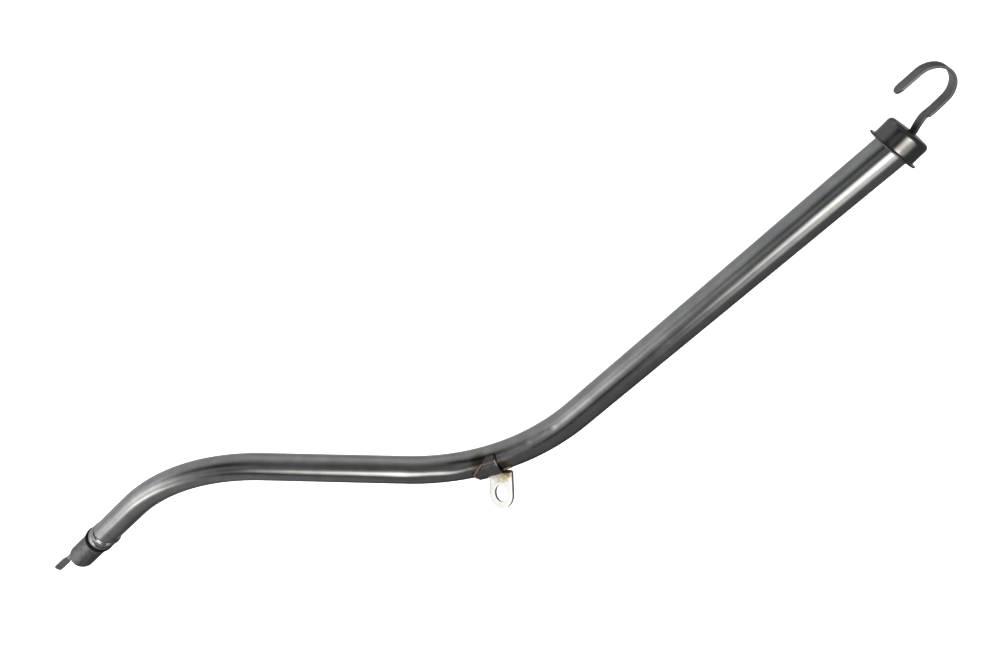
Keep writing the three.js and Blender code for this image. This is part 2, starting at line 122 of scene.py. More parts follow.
BLADE_WIDTH = 5.0
BLADE_THICKNESS = 1.0
BLADE_BEND_OFFSET = 4.0
TIP_OFFSET = 6.4
TIP_END = -32.0
TIP_WIDTH = 5.8
TWIST_START = -3.0
TWIST_END = -15.0
TIP_WAIST = 0.3
TIP_WAIST_AT = -11.0
TIP_WAIST_SPREAD = 3.2

CAP_TILT = math.radians(5.4)
BRIM_AT = 660.6
BRIM_RADIUS = 14.1
CAP_RADIUS = 11.9
CAP_HEIGHT = 11.2
CAP_SHEET = 0.8
BRIM_SHEET = 0.9
CAP_CORNER = 2.4
CAP_CROWN = 0.5
SEAL_TOP = 9.1
SEAL_WEB = 7.4

HANDLE_THICKNESS = 1.3
HANDLE_WIDTH = 7.2
NECK_RELIEF = 1.1
NECK_END = 21.0
HANDLE_FOOT = -14.0
HANDLE_SIDE = -1.4
HOOK_RADIUS = 9.7
HOOK_CENTRE = (31.0, 9.9)
HOOK_TIP = (23.0, 20.4)
HOOK_TURN = (math.radians(-90), math.radians(86))
HOOK_STEP = 0.45
NECK_POINTS = [
    (HANDLE_FOOT, HANDLE_SIDE), (4, HANDLE_SIDE), (11.2, HANDLE_SIDE), (15.2, -0.2),
    (19.5, 0.8), (24.5, 0.3), (HOOK_CENTRE[0], HOOK_CENTRE[1] - HOOK_RADIUS),
]
RIVETS_AT = (-11.0, -6.0)
RIVET_RADIUS = 1.3
RIVET_HEAD_RADIUS = 2.2
RIVET_HEAD = 0.9
LAP_GAP = 0.3

LOWER_BEND_END = LOWER_STRAIGHT + BEND_RADIUS * LOWER_BEND
UPPER_BEND_START = LOWER_BEND_END + MIDDLE_STRAIGHT
UPPER_BEND_END = UPPER_BEND_START + BEND_RADIUS * UPPER_BEND
TUBE_LENGTH = UPPER_BEND_END + UPPER_STRAIGHT

SIDE = Vector((0, 1, 0))


# ---- Paths ----

def lerp(a, b, t):
    return a + (b - a) * t


def clamp(x, low=0.0, high=1.0):
    return max(low, min(high, x))


def smooth(x, start, end):
    t = clamp((x - start) / (end - start))
    return t * t * (3 - 2 * t)


def bump_at(x, middle, half_width):
    return math.exp(-((x - middle) / half_width) ** 2)


def direction(heading):
    return Vector((math.cos(heading), 0, math.sin(heading)))


def up_from(heading):
    return Vector((-math.sin(heading), 0, math.cos(heading)))


def centreline(s):
    """Point and heading on the tube's centreline, a distance s from its lower end."""
    point = direction(LOWER_BEND) * min(s, LOWER_STRAIGHT)
    if s <= LOWER_STRAIGHT:
        return point - NOSE_TO_HOLE, LOWER_BEND
    centre = point - up_from(LOWER_BEND) * BEND_RADIUS
    if s <= LOWER_BEND_END:
        heading = LOWER_BEND - (s - LOWER_STRAIGHT) / BEND_RADIUS
        return centre + up_from(heading) * BEND_RADIUS - NOSE_TO_HOLE, heading
    point = centre + up_from(0) * BEND_RADIUS
    point.x += min(s - LOWER_BEND_END, MIDDLE_STRAIGHT)
    if s <= UPPER_BEND_START:
        return point - NOSE_TO_HOLE, 0.0
    centre = point + up_from(0) * BEND_RADIUS
    heading = min((s - UPPER_BEND_START) / BEND_RADIUS, UPPER_BEND)
    point = centre - up_from(heading) * BEND_RADIUS
    point += direction(heading) * max(s - UPPER_BEND_END, 0)
    return point - NOSE_TO_HOLE, heading


def beside(x, y, s):
    point, heading = centreline(s)
    return point + SIDE * x + up_from(heading) * y


def round_tube(angle, radius, s):
    """A place round the tube: the angle goes from its top over the side that faces -Y."""
    return beside(-radius * math.sin(angle), radius * math.cos(angle), s)


BRIM_POINT, BRIM_HEADING = centreline(BRIM_AT)
CAP_AXIS = direction(BRIM_HEADING + CAP_TILT)
CAP_UP = up_from(BRIM_HEADING + CAP_TILT)


def in_head(x, y, z):
    """A place in the cap's own frame: x across, y up in the plane of the bends, z along its axis."""
    return BRIM_POINT + SIDE * x + CAP_UP * y + CAP_AXIS * z


# ---- Mesh building ----

def build(name, points, faces, local=None, kinds=None):
    """A smooth mesh object from points in millimetres; local keeps unbent coordinates for grain."""
    mesh = bpy.data.meshes.new(name)
    mesh.from_pydata([p * MM for p in points], [], faces)
    if local is not None:
        attribute = mesh.attributes.new("local", "FLOAT_VECTOR", "POINT")
        attribute.data.foreach_set("vector", [c for p in local for c in p])
    if kinds is not None:
        mesh.polygons.foreach_set("material_index", kinds)
    mesh.validate()
    mesh.shade_smooth()
    thing = bpy.data.objects.new(name, mesh)
    bpy.context.scene.collection.objects.link(thing)
    return thing


def rings_to_faces(rows, columns, close_rows=False, wrap=True):
    faces = []
    for i in range(rows if close_rows else rows - 1):
        for j in range(columns if wrap else columns - 1):
            a = i * columns + j
            b = i * columns + (j + 1) % columns
            c = ((i + 1) % rows) * columns + (j + 1) % columns
            d = ((i + 1) % rows) * columns + j
            faces.append((a, b, c, d))
    return faces


def finish_piece(thing, materials, body, slot, *nodes):
    for material in materials:
        thing.data.materials.append(material)
    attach(thing, body)
    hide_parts(*nodes)
    return thing


def steps(start, end, size):
    count = max(1, round(abs(end - start) / size))
    return [lerp(start, end, i / count) for i in range(count + 1)]


def quarter(centre_radius, centre_height, size, start, end, count=6):
    """Points of an arc in a turned outline, as (radius, height)."""
    angles = [math.radians(lerp(start, end, i / count)) for i in range(count + 1)]
    return [
        (centre_radius + size * math.cos(a), centre_height + size * math.sin(a)) for a in angles
    ]


def turned(name, outline, place, sides, closed=True):
    """An outline of (radius, height) pairs turned round an axis; place puts (x, y, z) in the row."""
    points = []
    local = []
    for radius, height in outline:
        for j in range(sides):
            turn = 2 * math.pi * j / sides
            spot = (radius * math.cos(turn), radius * math.sin(turn), height)
            points.append(place(*spot))
            local.append(spot)
    faces = rings_to_faces(len(outline), sides, close_rows=closed)
    return build(name, points, faces, local)


def rounded_ring(half_width, half_height, corner, flat_steps=4, corner_steps=3):
    """Outline of a strip's section with rounded corners, and which of its segments are cut edges."""
    ring = []
    edges = []
    corners = [(1, 1, 0), (-1, 1, 90), (-1, -1, 180), (1, -1, 270)]
    for k, (sx, sy, start) in enumerate(corners):
        for i in range(corner_steps + 1):
            a = math.radians(start + 90 * i / corner_steps)
            ring.append(
                (sx * (half_width - corner) + corner * math.cos(a),
                 sy * (half_height - corner) + corner * math.sin(a))
            )
            edges.append(k in (1, 3) and i == corner_steps or (k in (0, 2) and i < 1))
        last = ring[-1]
        nx, ny, nstart = corners[(k + 1) % 4]
        a = math.radians(nstart)
        following = (nx * (half_width - corner) + corner * math.cos(a),
                     ny * (half_height - corner) + corner * math.sin(a))
        is_edge = k in (1, 3)
        edges[-1] = is_edge
        for i in range(1, flat_steps):
            t = i / flat_steps
            ring.append((lerp(last[0], following[0], t), lerp(last[1], following[1], t)))
            edges.append(is_edge)
    return ring, edges


def swept_strip(name, sections):
    """A strip with closed ends from sections of (place, ring, edge flags, distance)."""
    points = []
    local = []
    kinds = []
    columns = len(sections[0][1])
    for place, ring, _, distance in sections:
        for x, y in ring:
            points.append(place(x, y))
            local.append((x, y, distance))
    faces = rings_to_faces(len(sections), columns)
    for _, _, edges, _ in sections[:-1]:
        kinds.extend(int(edge) for edge in edges)
    last = (len(sections) - 1) * columns
    faces.append(tuple(reversed(range(columns))))
    faces.append(tuple(range(last, last + columns)))
    kinds.extend((1, 1))
    return build(name, points, faces, local, kinds)


# ---- Tube ----

TUBE_SIDES = 96
SHALLOW_DENTS = [
    # distance along, angle round, length, half-width in radians, depth
    (394.0, math.radians(47), 2.2, 0.15, 0.20),
    (405.0, math.radians(20), 5.0, 0.30, -0.08),
    (416.0, math.radians(45), 2.4, 0.17, 0.20),
    (332.0, math.radians(24), 9.0, 0.45, 0.18),
    (338.0, math.radians(48), 10.0, 0.36, 0.42),
    (345.0, math.radians(92), 5.0, 0.22, 0.10),
    (318.0, math.radians(84), 6.0, 0.22, 0.07),
    (300.0, math.radians(60), 8.0, 0.25, 0.05),
    (236.0, math.radians(30), 10.0, 0.35, 0.05),
    (560.0, math.radians(60), 12.0, 0.30, 0.05),
]


def bead_lift(s, angle):
    """How far the upset bead stands off the tube: two rolls, a crease between, a sharp far edge."""
    around = Vector((math.cos(angle), math.sin(angle), 0))
    below = smooth(-math.cos(angle), 0.35, 0.95)
    crease = BEAD_CREASE + 0.7 * noise.noise(around * 1.9)
    crest = BEAD_CREST + 1.4 * below + 0.4 * noise.noise(around * 2.6 + Vector((5, 0, 0)))
    end = lerp(BEAD_END, BEAD_END_BELOW, below)
    end += 0.5 * noise.noise(around * 2.3 + Vector((0, 9, 0)))
    peak = BEAD_RADIUS - TUBE_RADIUS
    first = math.sin(math.pi * clamp((s - GROOVE[1] + 1.2) / (crease - GROOVE[1] + 1.6))) ** 0.7
    second = smooth(s, crease - 0.3, crest) * (1 - smooth(s, lerp(crest, end, 0.35), end))
    fold = noise.noise(Vector((3.5 * around.x, 3.5 * around.y, s * 0.4)))
    lift = (0.82 * first if s < crease + 0.4 else 0.0, second)
    height = peak * max(lift) * (1 - BEAD_LEAN * math.cos(angle)) + 0.14 * fold * max(lift)
    return height - 0.14 * bump_at(s, end + 0.35, 0.45)


def tube_radius(s, angle):
    radius = TUBE_RADIUS - 0.35 * (1 - clamp((s - NOSE_START) / 1.1)) ** 2
    groove = smooth(s, GROOVE[0], GROOVE[0] + 0.35)
    groove *= 1 - smooth(s, GROOVE[1] - 0.3, GROOVE[1] + 0.1)
    radius -= (TUBE_RADIUS - GROOVE_RADIUS) * groove
    radius += GROOVE_LIP * smooth(s, GROOVE[0] - 2.2, GROOVE[0] - 0.4) * (s < GROOVE[0] + 0.01)
    if GROOVE[1] < s < BEAD_END_BELOW + 2:
        radius += bead_lift(s, angle)
    for at, round_at, length, spread, depth in SHALLOW_DENTS:
        if abs(s - at) < 3 * length:
            turn = math.atan2(math.sin(angle - round_at), math.cos(angle - round_at))
            radius -= depth * bump_at(s, at, length) * bump_at(turn, 0, spread)
    wave = noise.noise(Vector((1.4 * math.cos(angle), 1.4 * math.sin(angle), s / 16)))
    return radius + 0.022 * wave


def tube_skin():
    outer = steps(NOSE_START, 0.4, 0.15) + steps(1.0, GROOVE[0] - 0.2, 2.4)
    outer += steps(GROOVE[0], BEAD_END_BELOW + 2, 0.2)
    outer += steps(BEAD_END_BELOW + 3, TUBE_LENGTH - 0.5, 2.0)
    inner = steps(TUBE_LENGTH - 0.4, 0.4, 5.0)
    points = []
    local = []

    def ring(s, radius_of):
        for j in range(TUBE_SIDES):
            angle = 2 * math.pi * j / TUBE_SIDES
            radius = radius_of(s, angle)
            points.append(round_tube(angle, radius, s))
            local.append((radius * math.sin(angle), radius * math.cos(angle), s))

    rows = 0
    for s in outer:
        ring(s, tube_radius)
        rows += 1
    back = TUBE_LENGTH - MOUTH_ROUND
    rim = list(zip((back, TUBE_LENGTH, TUBE_LENGTH, back), MOUTH_RADII))
    nose = list(zip((NOSE_START + NOSE_ROUND, NOSE_START, NOSE_START), NOSE_RADII))
    for s, radius in rim:
        ring(s, lambda _, __, r=radius: r)
    for s in inner:
        ring(s, lambda _, __: BORE_RADIUS)
    for s, radius in nose:
        ring(s, lambda _, __, r=radius: r)
    rows += len(rim) + len(inner) + len(nose)
    return build("tube_skin", points, rings_to_faces(rows, TUBE_SIDES, close_rows=True), local)


def sealing_ring():
    """An O-ring squeezed flat in its groove, with a fine moulding line round its outside."""
    sides, section = 160, 36
    radius = GROOVE_RADIUS + 0.08 + RING_HEIGHT / 2
    middle = sum(GROOVE) / 2 + 0.15
    points = []
    local = []
    for i in range(section):
        turn = 2 * math.pi * i / section
        line = 0.045 * bump_at(math.atan2(math.sin(turn), math.cos(turn)), 0, 0.12)
        for j in range(sides):
            angle = 2 * math.pi * j / sides
            ripple = 0.02 * noise.noise(Vector((3 * math.cos(angle), 3 * math.sin(angle), turn)))
            r = radius + (RING_HEIGHT / 2 + line + ripple) * math.cos(turn)
            s = middle + (RING_LENGTH / 2) * math.sin(turn)
            points.append(round_tube(angle, r, s))
            local.append((r * math.sin(angle), r * math.cos(angle), s))
    return build("o_ring", points, rings_to_faces(section, sides, close_rows=True), local)


# ---- Bracket ----

def tab_directions():
    out = Vector((
        math.cos(TAB_DROP) * math.cos(TAB_HEADING),
        math.cos(TAB_DROP) * math.sin(TAB_HEADING),
        -math.sin(TAB_DROP),
    ))
    level = Vector((-math.sin(TAB_HEADING), math.cos(TAB_HEADING), 0))
    across = Matrix.Rotation(TAB_ROLL, 3, out) @ level
    return out, across, out.cross(across)


OUT, ACROSS, FACE = tab_directions()
TAB_MIDDLE = FACE * (-STRIP / 2)


def saddle_low_edge(angle):
    slant = clamp((SLANT_START - angle) / (SLANT_START - SADDLE_TOP))
    return lerp(SADDLE_LOW_END, SADDLE_HIGH_END - TOP_EDGE, slant)


def saddle_point(u, v, radius=SADDLE_MIDDLE):
    angle = lerp(SADDLE_TOP, lerp(SADDLE_LOW_CORNER, SADDLE_HIGH_CORNER, u), v)
    creased = radius + SADDLE_CREASE * bump_at(angle, SADDLE_CREASE_AT, SADDLE_CREASE_SPREAD)
    return round_tube(angle, creased, lerp(saddle_low_edge(angle), SADDLE_HIGH_END, u))


def fold_point(u, v):
    start = saddle_point(u, 1)
    leaving = (start - saddle_point(u, 0.98)).normalized()
    reach = lerp(TAB_LOW_CORNER, TAB_HIGH_CORNER, u)
    end = TAB_MIDDLE + ACROSS * ((2 * u - 1) * TAB_HALF_WIDTH) - OUT * reach
    return (
        start * (2 * v**3 - 3 * v**2 + 1)
        + leaving * (FOLD_REACH * (v**3 - 2 * v**2 + v))
        + end * (3 * v**2 - 2 * v**3)
        + OUT * (FOLD_REACH * (v**3 - v**2))
    )


def bracket():
    """Saddle, fold and tab as one bent sheet, given its thickness and softened edges."""
    columns = 14
    shares = [i / columns for i in range(columns + 1)]
    points = []
    faces = []
    rows = [[saddle_point(u, v) for u in shares] for v in steps(0, 1, 1 / 72)]
    rows += [[fold_point(u, v) for u in shares] for v in steps(0, 1, 1 / 16)[1:]]
    for row in rows:
        points.extend(row)
    faces.extend(rings_to_faces(len(rows), columns + 1, wrap=False))
    top_row = (len(rows) - 1) * (columns + 1)

    # The tab is a fan of quads between its hole and its outline, which starts along the fold
    half = TAB_HALF_WIDTH
    outline = [(lerp(-half, half, u), lerp(TAB_LOW_CORNER, TAB_HIGH_CORNER, u)) for u in shares]
    outline += [(half, h) for h in steps(TAB_HIGH_CORNER, 0, 1.8)[1:]]
    outline += [
        (half * math.cos(a), -half * math.sin(a)) for a in steps(0, math.pi, math.pi / 36)[1:]
    ]
    outline += [(-half, h) for h in steps(0, TAB_LOW_CORNER, 1.8)[1:-1]]
    count = len(outline)
    ring_index = []
    for share in (0.0, 0.1, 0.35, 0.7, 1.0):
        ring = []
        for k, (a, b) in enumerate(outline):
            if share == 1.0 and k <= columns:
                ring.append(top_row + k)
                continue
            size = math.hypot(a, b)
            x = lerp(HOLE_RADIUS * a / size, a, share)
            y = lerp(HOLE_RADIUS * b / size, b, share)
            ring.append(len(points))
            points.append(TAB_MIDDLE + ACROSS * x - OUT * y)
        ring_index.append(ring)
    for inner, outer in zip(ring_index, ring_index[1:]):
        for k in range(count):
            n = (k + 1) % count
            faces.append((inner[k], outer[k], outer[n], inner[n]))
    thing = build("bracket", points, faces)
    sheet = thing.modifiers.new("sheet", "SOLIDIFY")
    sheet.thickness = STRIP * MM
    sheet.offset = 0
    sheet.use_even_offset = True
    sheet.material_offset_rim = 1
    soft = thing.modifiers.new("edges", "BEVEL")
    soft.width = SOFT_EDGE * MM
    soft.segments = 3
    soft.limit_method = "ANGLE"
    soft.angle_limit = math.radians(45)
    return thing


def weld_bead(name, place, size, ripples):
    """A run of weld: a low rounded bead whose pools overlap like scales, tapering at its ends."""
    width, height = size
    sections, around = 90, 28
    points = []
    local = []
    for i in range(sections + 1):
        t = i / sections
        taper = math.sqrt(clamp(1 - (2 * t - 1) ** 10, 0.02))
        pool = (t * ripples) % 1.0
        swell = 1 + 0.13 * math.sin(math.pi * pool) ** 0.6
        wander = 0.25 * noise.noise(Vector((t * ripples * 0.6, 7.3, 0)))
        for j in range(around):
            turn = 2 * math.pi * j / around
            across = width / 2 * taper * swell * math.cos(turn) + wander
            lift = height * taper * swell * math.sin(turn)
            rough = 0.08 * noise.noise(Vector((across * 1.3, lift * 1.3, t * ripples * 1.7)))
            arc_back = 0.35 * abs(math.cos(turn)) / max(ripples, 1)
            points.append(place(clamp(t - arc_back * 0.2), across, lift + rough))
            local.append((across, lift, t * 20))
    faces = rings_to_faces(sections + 1, around)
    last = sections * around
    faces.append(tuple(reversed(range(around))))
    faces.append(tuple(range(last, last + around)))
    return build(name, points, faces, local)


def saddle_weld_place(t, across, lift):
    angle = lerp(SADDLE_WELD_START, SADDLE_WELD_END, t)
    return round_tube(angle, TUBE_RADIUS + 0.45 + lift, saddle_low_edge(angle) - 0.9 + across)


def tab_weld_place(t, across, lift):
    s = lerp(SADDLE_HIGH_END + TAB_WELD_REACH[0], SADDLE_HIGH_END + TAB_WELD_REACH[1], t)
    angle = TAB_WELD_AT + across / TUBE_RADIUS
    return round_tube(angle, TUBE_RADIUS + 0.4 + lift, s)


# ---- Dipstick ----

def blade_tip():
    """The lowest stretch of the strip, turned a quarter turn below the nose and ending round."""
    round_start = TIP_END + TIP_WIDTH / 2
    sections = []
    stations = steps(LOWER_STRAIGHT - 0.4, TWIST_START, 4.0)
    stations += steps(TWIST_START, round_start, 0.4)[1:]
    stations += [
        round_start - TIP_WIDTH / 2 * math.sin(a) for a in steps(0, math.pi / 2, math.pi / 28)[1:]
    ]
    for s in stations:
        past = max(round_start - s, 0) / (TIP_WIDTH / 2)
        width = lerp(BLADE_WIDTH, TIP_WIDTH, smooth(-s, -TWIST_START, -TWIST_END))
        width *= 1 - TIP_WAIST * bump_at(s, TIP_WAIST_AT, TIP_WAIST_SPREAD)
        half = width / 2 * math.sqrt(max(1 - past**2, 0.006))
        ring, edges = rounded_ring(half, BLADE_THICKNESS / 2, min(0.16, half * 0.4))
        share = (LOWER_STRAIGHT - s) / (LOWER_STRAIGHT - TIP_END)
        offset = lerp(BLADE_BEND_OFFSET, TIP_OFFSET, share)
        twist = math.pi / 2 * smooth(-s, -TWIST_START, -TWIST_END)

        def place(x, y, s=s, offset=offset, twist=twist):
            c, d = math.cos(twist), math.sin(twist)
            return beside(x * c - y * d, offset + x * d + y * c, s)

        sections.append((place, ring, edges, s))
    return swept_strip("strip_tip", sections)


def catmull(points, t):
    position = t * (len(points) - 1)
    k = min(int(position), len(points) - 2)
    f = position - k
    p0 = points[max(k - 1, 0)]
    p1, p2 = points[k], points[k + 1]
    p3 = points[min(k + 2, len(points) - 1)]

    def along(a, b, c, d):
        v0, v1 = (c - a) / 2, (d - b) / 2
        return (2 * b - 2 * c + v0 + v1) * f**3 + (3 * c - 3 * b - 2 * v0 - v1) * f**2 + v0 * f + b

    return along(p0[0], p1[0], p2[0], p3[0]), along(p0[1], p1[1], p2[1], p3[1])


def even_steps(path, size):
    """The same path with points a fixed distance apart."""
    out = [path[0]]
    travelled = 0.0
    for a, b in zip(path, path[1:]):
        length = math.dist(a, b)
        while travelled + length >= size:
            t = (size - travelled) / length
            a = (lerp(a[0], b[0], t), lerp(a[1], b[1], t))
            out.append(a)
            length = math.dist(a, b)
            travelled = 0.0
        travelled += length
    return out


def hook_handle():
    path = [catmull(NECK_POINTS, i / 240) for i in range(240)]
    turn = steps(HOOK_TURN[0], HOOK_TURN[1], math.radians(1.5))
    path += [
        (HOOK_CENTRE[0] + HOOK_RADIUS * math.cos(a), HOOK_CENTRE[1] + HOOK_RADIUS * math.sin(a))
        for a in turn
    ]
    leg_start = path[-1]
    path += [
        (lerp(leg_start[0], HOOK_TIP[0], t), lerp(leg_start[1], HOOK_TIP[1], t))
        for t in steps(0, 1, 0.02)[1:]
    ]
    path = even_steps(path, HOOK_STEP)
    tip_round = HANDLE_WIDTH / 2
    end = path[-1]
    before = path[-2]
    run = math.dist(before, end)
    ahead = ((end[0] - before[0]) / run, (end[1] - before[1]) / run)
    stations = []
    for k, point in enumerate(path):
        back, front = path[max(k - 1, 0)], path[min(k + 1, len(path) - 1)]
        length = math.dist(back, front)
        tangent = ((front[0] - back[0]) / length, (front[1] - back[1]) / length)
        stations.append((point, tangent, 0.0, k * HOOK_STEP))
    for a in steps(0, math.pi / 2, math.pi / 32)[1:]:
        past = tip_round * math.sin(a)
        spot = (end[0] + ahead[0] * past, end[1] + ahead[1] * past)
        stations.append((spot, ahead, past, stations[-1][3]))
    sections = []
    for (z, y), (tz, ty), past, distance in stations:
        width = HANDLE_WIDTH * math.sqrt(max(1 - (past / tip_round) ** 2, 0.006))
        in_neck = y < HOOK_CENTRE[1]
        relief = NECK_RELIEF * (1 - smooth(z, NECK_END - 0.3, NECK_END + 0.3)) if in_neck else 0.0
        half = (width - relief) / 2
        ring, edges = rounded_ring(half, HANDLE_THICKNESS / 2, min(0.22, half * 0.4))

        def place(x, n, z=z, y=y, tz=tz, ty=ty, relief=relief):
            return in_head(x + relief / 2, y + n * tz, z - n * ty)

        sections.append((place, ring, edges, distance))
    return swept_strip("hook", sections)


def cap():
    inside = CAP_RADIUS - CAP_SHEET
    inner_corner = CAP_CORNER - CAP_SHEET
    roof = CAP_HEIGHT - CAP_SHEET
    outline = [(0.01, roof + CAP_CROWN), (CAP_RADIUS * 0.5, roof + 0.35)]
    outline += quarter(inside - inner_corner, roof - inner_corner, inner_corner, 90, 0)
    outline += [(inside, 3.0), (inside + 0.05, 0.4)]
    outline += quarter(inside + 0.3, 0.25, 0.25, 180, 270)
    outline += [(CAP_RADIUS + 1.2, 0.0)]
    outline += quarter(BRIM_RADIUS - 0.45, BRIM_SHEET / 2, BRIM_SHEET / 2, -90, 90, 12)
    outline += [(CAP_RADIUS + 1.3, BRIM_SHEET)]
    outline += quarter(CAP_RADIUS + 0.7, BRIM_SHEET + 0.7, 0.7, 270, 180)
    outline += [(CAP_RADIUS, 3.2), (CAP_RADIUS - 0.03, 6.0)]
    outline += quarter(CAP_RADIUS - CAP_CORNER, CAP_HEIGHT - CAP_CORNER, CAP_CORNER, 0, 90, 12)
    outline += [(CAP_RADIUS * 0.62, CAP_HEIGHT + 0.16), (CAP_RADIUS * 0.45, CAP_HEIGHT + 0.36)]
    outline += [(CAP_RADIUS * 0.2, CAP_HEIGHT + 0.47), (0.01, CAP_HEIGHT + CAP_CROWN)]

    def place(x, y, z):
        # A pressed cup is never quite true: its wall and brim wander by a few hundredths
        turn = math.atan2(y, x)
        wander = 0.05 * noise.noise(Vector((math.cos(turn), math.sin(turn), z * 0.12)))
        scale = 1 + wander / CAP_RADIUS
        return in_head(x * scale, y * scale, z)

    thing = turned("cap", outline, place, 160)
    cut_slot(thing)
    return thing


def cut_slot(thing):
    """Punches the handle's slot through the crown."""
    half_x = HANDLE_WIDTH / 2 + 0.25
    half_y = HANDLE_THICKNESS / 2 + 0.3
    ring, _ = rounded_ring(half_x, half_y, 0.3)
    points = [
        in_head(x, HANDLE_SIDE + y, z) for z in (CAP_HEIGHT - 3, CAP_HEIGHT + 3) for x, y in ring
    ]
    count = len(ring)
    faces = rings_to_faces(2, count)
    faces += [tuple(reversed(range(count))), tuple(range(count, 2 * count))]
    cutter = build("slot_cutter", points, faces)
    cut = thing.modifiers.new("slot", "BOOLEAN")
    cut.operation = "DIFFERENCE"
    cut.solver = "EXACT"
    cut.object = cutter
    depsgraph = bpy.context.evaluated_depsgraph_get()
    holed = bpy.data.meshes.new_from_object(thing.evaluated_get(depsgraph))
    thing.modifiers.clear()
    thing.data = holed
    holed.set_sharp_from_angle(angle=math.radians(40))
    bpy.data.objects.remove(cutter)


def cap_seal():
    """The rubber ring and web that the cap presses over the tube's mouth."""
    outside = CAP_RADIUS - CAP_SHEET - 0.3
    bore = TUBE_RADIUS + 0.35
    outline = quarter(outside - 0.4, 1.6, 0.4, -90, 0)
    outline += [(outside, 5.0)] + quarter(outside - 1.2, SEAL_TOP - 1.2, 1.2, 0, 90)
    outline += [(4.0, SEAL_TOP), (0.01, SEAL_TOP), (0.01, SEAL_WEB), (5.0, SEAL_WEB)]
    outline += quarter(bore - 0.5, SEAL_WEB - 0.5, 0.5, 90, 0)
    outline += [(bore, 4.0), (bore + 0.05, 1.6), (bore + 0.35, 1.2)]

    def place(x, y, z):
        within = math.hypot(x, y) < bore + 0.2 and z < SEAL_WEB - 0.2
        return in_head(x, y - (z * math.tan(CAP_TILT) if within else 0), z)

    return turned("seal", outline, place, 96)


def rivet(name, z_at):
    low = HANDLE_SIDE - HANDLE_THICKNESS / 2 - LAP_GAP
    blade_y = HANDLE_SIDE + (HANDLE_THICKNESS + BLADE_THICKNESS) / 2 + LAP_GAP
    high = blade_y + BLADE_THICKNESS / 2 + LAP_GAP
    dome = [
        (RIVET_HEAD_RADIUS * math.sin(a), RIVET_HEAD * math.cos(a)) for a in steps(0.02, 1.5, 0.15)
    ]
    outline = [(r, low - h) for r, h in dome] + [(RIVET_HEAD_RADIUS, low), (RIVET_RADIUS, low)]
    outline += [(RIVET_RADIUS, high), (RIVET_HEAD_RADIUS, high)]
    outline += [(r, high + h) for r, h in reversed(dome)]
    return turned(name, outline, lambda x, y, z: in_head(x, z, z_at + y), 40)


# ---- Materials ----

def node(tree, kind, **settings):
    made = tree.nodes.new(kind)
    for key, value in settings.items():
        if key in made.inputs:
            made.inputs[key].default_value = value
        else:
            setattr(made, key, value)
    return made


def shader(name):
    material = bpy.data.materials.new(name)
    material.use_nodes = True
    tree = material.node_tree
    return material, tree, tree.nodes["Principled BSDF"]


def coordinates(tree, has_local, stretch):
    """Millimetre coordinates, unbent where the mesh has them, scaled to stretch a pattern."""
    if has_local:
        source = node(tree, "ShaderNodeAttribute", attribute_name="local").outputs["Vector"]
        factor = Vector(stretch)
    else:
        source = node(tree, "ShaderNodeTexCoord").outputs["Object"]
        factor = Vector(stretch) / MM
    scaled = node(tree, "ShaderNodeVectorMath", operation="MULTIPLY")
    scaled.inputs[1].default_value = factor
    tree.links.new(source, scaled.inputs[0])
    return scaled.outputs[0]


def pattern(tree, has_local, stretch, scale, detail=4.0, roughness=0.55):
    made = node(tree, "ShaderNodeTexNoise", Scale=scale, Detail=detail, Roughness=roughness)
    tree.links.new(coordinates(tree, has_local, stretch), made.inputs["Vector"])
    return made.outputs["Fac"]


def ramp(tree, source, stops):
    made = node(tree, "ShaderNodeValToRGB")
    band = made.color_ramp
    while len(band.elements) < len(stops):
        band.elements.new(0.5)
    for element, (position, colour) in zip(band.elements, stops):
        element.position = position
        element.color = (*colour, 1) if len(colour) == 3 else colour
    tree.links.new(source, made.inputs[0])
    return made.outputs[0]


def grey(value):
    return (value, value, value)


def mix_colour(tree, share, first, second, blend="MIX"):
    made = node(tree, "ShaderNodeMix", data_type="RGBA", blend_type=blend)
    for source, socket in ((share, 0), (first, 6), (second, 7)):
        if isinstance(source, (int, float)):
            made.inputs[socket].default_value = source
        elif isinstance(source, tuple):
            made.inputs[socket].default_value = (*source, 1)
        else:
            tree.links.new(source, made.inputs[socket])
    return made.outputs[2]


def maths(tree, operation, first, second=0.0, third=0.0):
    made = node(tree, "ShaderNodeMath", operation=operation)
    for socket, source in enumerate((first, second, third)):
        if isinstance(source, (int, float)):
            made.inputs[socket].default_value = source
        else:
            tree.links.new(source, made.inputs[socket])
    return made.outputs[0]


def near(tree, place, radius, wobble=0.0):
    """1 at a place in the row, falling to 0 at a radius in millimetres, with a ragged border."""
    here = node(tree, "ShaderNodeTexCoord").outputs["Object"]
    gap = node(tree, "ShaderNodeVectorMath", operation="DISTANCE")
    gap.inputs[1].default_value = place * MM
    tree.links.new(here, gap.inputs[0])
    share = maths(tree, "DIVIDE", gap.outputs["Value"], radius * MM)
    if wobble:
        ragged = pattern(tree, False, (1, 1, 1), 0.35)
        centred = maths(tree, "SUBTRACT", ragged, 0.5)
        share = maths(tree, "ADD", share, maths(tree, "MULTIPLY", centred, wobble))
    return maths(tree, "SUBTRACT", 1.0, share, 0.0)


def add_bumps(tree, bsdf, layers):
    """Stacks bump layers, each of (height, depth in millimetres, strength)."""
    normal = None
    for height, depth, strength in layers:
        made = node(tree, "ShaderNodeBump", Strength=strength, Distance=depth * MM)
        tree.links.new(height, made.inputs["Height"])
        if normal is not None:
            tree.links.new(normal, made.inputs["Normal"])
        normal = made.outputs["Normal"]
    tree.links.new(normal, bsdf.inputs["Normal"])


